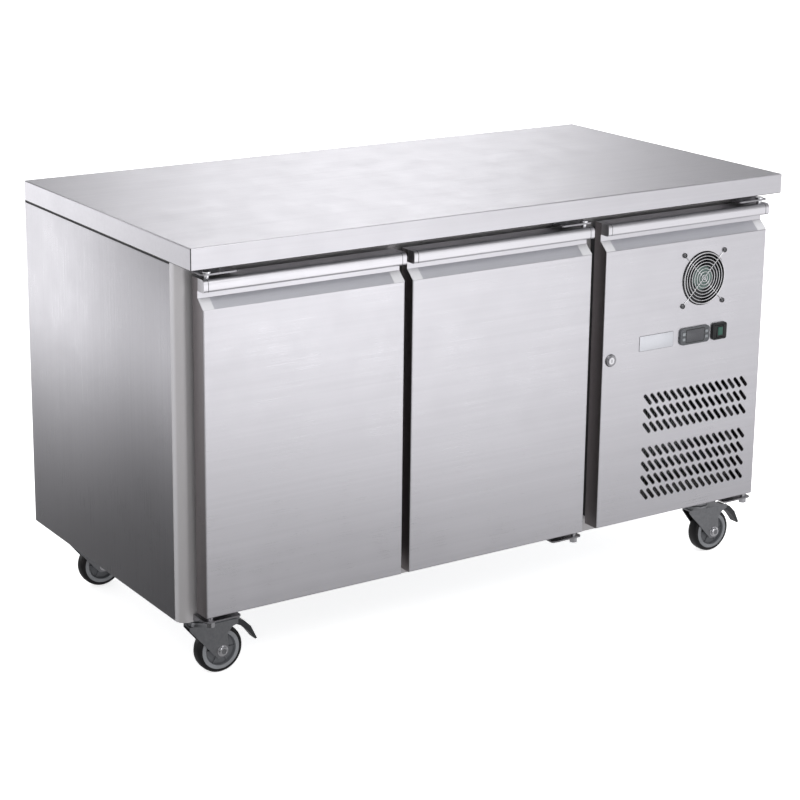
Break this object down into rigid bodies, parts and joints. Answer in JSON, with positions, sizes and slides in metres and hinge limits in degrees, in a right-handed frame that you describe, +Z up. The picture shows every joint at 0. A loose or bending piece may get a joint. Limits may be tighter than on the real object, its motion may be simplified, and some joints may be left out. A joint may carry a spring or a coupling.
{
  "type": "undercounter refrigerator",
  "caption": "Low refrigerated counter on castors: flat worktop, bull-nose doors, side machine bay with grille, fan and controls.",
  "frame": {"origin": "on the floor, under the middle of the whole counter, castor brake pedals included", "axes": "+Z up, doors face -Y, +X along the worktop towards the machine bay"},
  "size_m": [1.4, 0.7, 0.85],
  "materials": {
    "stainless": "brushed",
    "liner_steel": "satin",
    "galvanised": "satin",
    "zinc": "zinc plated",
    "aluminium": "satin",
    "copper": "drawn copper tube",
    "black_enamel": "gloss",
    "guard_wire": "nickel plated wire",
    "foam": "rigid insulation foam",
    "gasket_rubber": "matt",
    "tyre_rubber": "matt",
    "fan_plastic": "moulded",
    "controller_plastic": "moulded",
    "key_plastic": "moulded",
    "switch_plastic": "gloss",
    "pedal_plastic": "moulded",
    "gland_plastic": "moulded",
    "box_plastic": "moulded",
    "plate_aluminium": "blank anodised plate"
  },
  "bodies": {
    "cabinet": {"back_panel": "galvanised", "base_panel": "galvanised", "bracket_bolts": "zinc", "cabinet_foam": "foam", "cable_gland": "gland_plastic", "castor_mounts": "zinc", "compressor": "black_enamel", "condenser": "aluminium", "condenser_shroud": "black_enamel", "electrical_box": "box_plastic", "evaporator_coil": "aluminium", "evaporator_cover": "liner_steel", "evaporator_motor": "black_enamel", "front_frame": "stainless", "hinge_brackets": "stainless", "hinge_pins": "zinc", "inner_liner": "liner_steel", "partition_panel": "galvanised", "refrigerant_pipes": "copper", "shelf_supports": "liner_steel", "side_panel_left": "stainless", "side_panel_right": "stainless", "unit_tray": "galvanised", "wire_shelves": "guard_wire", "worktop": "stainless"},
    "door_left": {"door_left_skin": "stainless", "door_left_foam": "foam", "door_left_liner": "liner_steel", "door_left_gasket": "gasket_rubber"},
    "door_right": {"door_right_skin": "stainless", "door_right_foam": "foam", "door_right_liner": "liner_steel", "door_right_gasket": "gasket_rubber"},
    "machine_door": {"machine_door_skin": "stainless", "machine_door_seal": "gasket_rubber", "vent_fan_frame": "fan_plastic", "vent_fan_guard": "guard_wire", "controller_body": "controller_plastic", "switch_housing": "switch_plastic", "lock_body": "zinc", "name_plate": "plate_aluminium"},
    "vent_fan": {"vent_fan_rotor": "fan_plastic"},
    "switch_rocker": {"switch_rocker": "switch_plastic"},
    "lock_barrel": {"lock_barrel": "zinc"},
    "condenser_fan": {"condenser_fan_rotor": "aluminium"},
    "evaporator_fan": {"evaporator_fan_rotor": "aluminium"},
    "key_left_upper": {"controller_key_left_upper": "key_plastic"},
    "key_left_lower": {"controller_key_left_lower": "key_plastic"},
    "key_right_upper": {"controller_key_right_upper": "key_plastic"},
    "key_right_lower": {"controller_key_right_lower": "key_plastic"},
    "castor_front_left": {"castor_fork_front_left": "zinc"},
    "wheel_front_left": {"castor_wheel_front_left": "tyre_rubber"},
    "castor_front_right": {"castor_fork_front_right": "zinc"},
    "wheel_front_right": {"castor_wheel_front_right": "tyre_rubber"},
    "castor_rear_left": {"castor_fork_rear_left": "zinc"},
    "wheel_rear_left": {"castor_wheel_rear_left": "tyre_rubber"},
    "castor_rear_right": {"castor_fork_rear_right": "zinc"},
    "wheel_rear_right": {"castor_wheel_rear_right": "tyre_rubber"},
    "pedal_front_left": {"brake_pedal_front_left": "pedal_plastic"},
    "pedal_front_right": {"brake_pedal_front_right": "pedal_plastic"}
  },
  "joints": [
    {"name": "door_left_hinge", "type": "hinge", "parent": "cabinet", "child": "door_left", "pos_m": [-0.659, -0.33, 0.4765], "axis": [0, 0, -1], "range_deg": [0, 100]},
    {"name": "door_right_hinge", "type": "hinge", "parent": "cabinet", "child": "door_right", "pos_m": [0.166, -0.33, 0.4765], "axis": [0, 0, 1], "range_deg": [0, 100]},
    {"name": "machine_door_hinge", "type": "hinge", "parent": "cabinet", "child": "machine_door", "pos_m": [0.619, -0.33, 0.4765], "axis": [0, 0, 1], "range_deg": [0, 100]},
    {"name": "vent_fan_spin", "type": "hinge", "parent": "machine_door", "child": "vent_fan", "pos_m": [0.4686, -0.325, 0.6525], "axis": [0, 1, 0], "continuous": true},
    {"name": "condenser_fan_spin", "type": "hinge", "parent": "cabinet", "child": "condenser_fan", "pos_m": [0.46425, -0.16, 0.2785], "axis": [0, 1, 0], "continuous": true},
    {"name": "evaporator_fan_spin", "type": "hinge", "parent": "cabinet", "child": "evaporator_fan", "pos_m": [0.1675, 0.005, 0.477], "axis": [1, 0, 0], "continuous": true},
    {"name": "switch_rocker_tilt", "type": "hinge", "parent": "machine_door", "child": "switch_rocker", "pos_m": [0.5155, -0.343, 0.536], "axis": [1, 0, 0], "range_deg": [0, 12]},
    {"name": "lock_turn", "type": "hinge", "parent": "machine_door", "child": "lock_barrel", "pos_m": [0.235, -0.33, 0.513], "axis": [0, 1, 0], "range_deg": [0, 90]},
    {"name": "key_left_upper_press", "type": "slide", "parent": "machine_door", "child": "key_left_upper", "axis": [0, 1, 0], "range_m": [0, 0.0008], "stiffness_N_per_m": 900, "springref_m": -0.0004},
    {"name": "key_left_lower_press", "type": "slide", "parent": "machine_door", "child": "key_left_lower", "axis": [0, 1, 0], "range_m": [0, 0.0008], "stiffness_N_per_m": 900, "springref_m": -0.0004},
    {"name": "key_right_upper_press", "type": "slide", "parent": "machine_door", "child": "key_right_upper", "axis": [0, 1, 0], "range_m": [0, 0.0008], "stiffness_N_per_m": 900, "springref_m": -0.0004},
    {"name": "key_right_lower_press", "type": "slide", "parent": "machine_door", "child": "key_right_lower", "axis": [0, 1, 0], "range_m": [0, 0.0008], "stiffness_N_per_m": 900, "springref_m": -0.0004},
    {"name": "castor_front_left_swivel", "type": "hinge", "parent": "cabinet", "child": "castor_front_left", "pos_m": [-0.625, -0.224, 0.104], "axis": [0, 0, 1], "continuous": true},
    {"name": "wheel_front_left_spin", "type": "hinge", "parent": "castor_front_left", "child": "wheel_front_left", "pos_m": [-0.589, -0.224, 0.047], "axis": [0, 1, 0], "continuous": true},
    {"name": "castor_front_right_swivel", "type": "hinge", "parent": "cabinet", "child": "castor_front_right", "pos_m": [0.585, -0.224, 0.104], "axis": [0, 0, 1], "continuous": true},
    {"name": "wheel_front_right_spin", "type": "hinge", "parent": "castor_front_right", "child": "wheel_front_right", "pos_m": [0.621, -0.224, 0.047], "axis": [0, 1, 0], "continuous": true},
    {"name": "castor_rear_left_swivel", "type": "hinge", "parent": "cabinet", "child": "castor_rear_left", "pos_m": [-0.625, 0.284, 0.104], "axis": [0, 0, 1], "continuous": true},
    {"name": "wheel_rear_left_spin", "type": "hinge", "parent": "castor_rear_left", "child": "wheel_rear_left", "pos_m": [-0.589, 0.284, 0.047], "axis": [0, 1, 0], "continuous": true},
    {"name": "castor_rear_right_swivel", "type": "hinge", "parent": "cabinet", "child": "castor_rear_right", "pos_m": [0.585, 0.284, 0.104], "axis": [0, 0, 1], "continuous": true},
    {"name": "wheel_rear_right_spin", "type": "hinge", "parent": "castor_rear_right", "child": "wheel_rear_right", "pos_m": [0.621, 0.284, 0.047], "axis": [0, 1, 0], "continuous": true},
    {"name": "pedal_front_left_lift", "type": "hinge", "parent": "castor_front_left", "child": "pedal_front_left", "pos_m": [-0.561, -0.224, 0.0965], "axis": [0, -1, 0], "range_deg": [0, 22]},
    {"name": "pedal_front_right_lift", "type": "hinge", "parent": "castor_front_right", "child": "pedal_front_right", "pos_m": [0.649, -0.224, 0.0965], "axis": [0, -1, 0], "range_deg": [0, 22]}
  ]
}
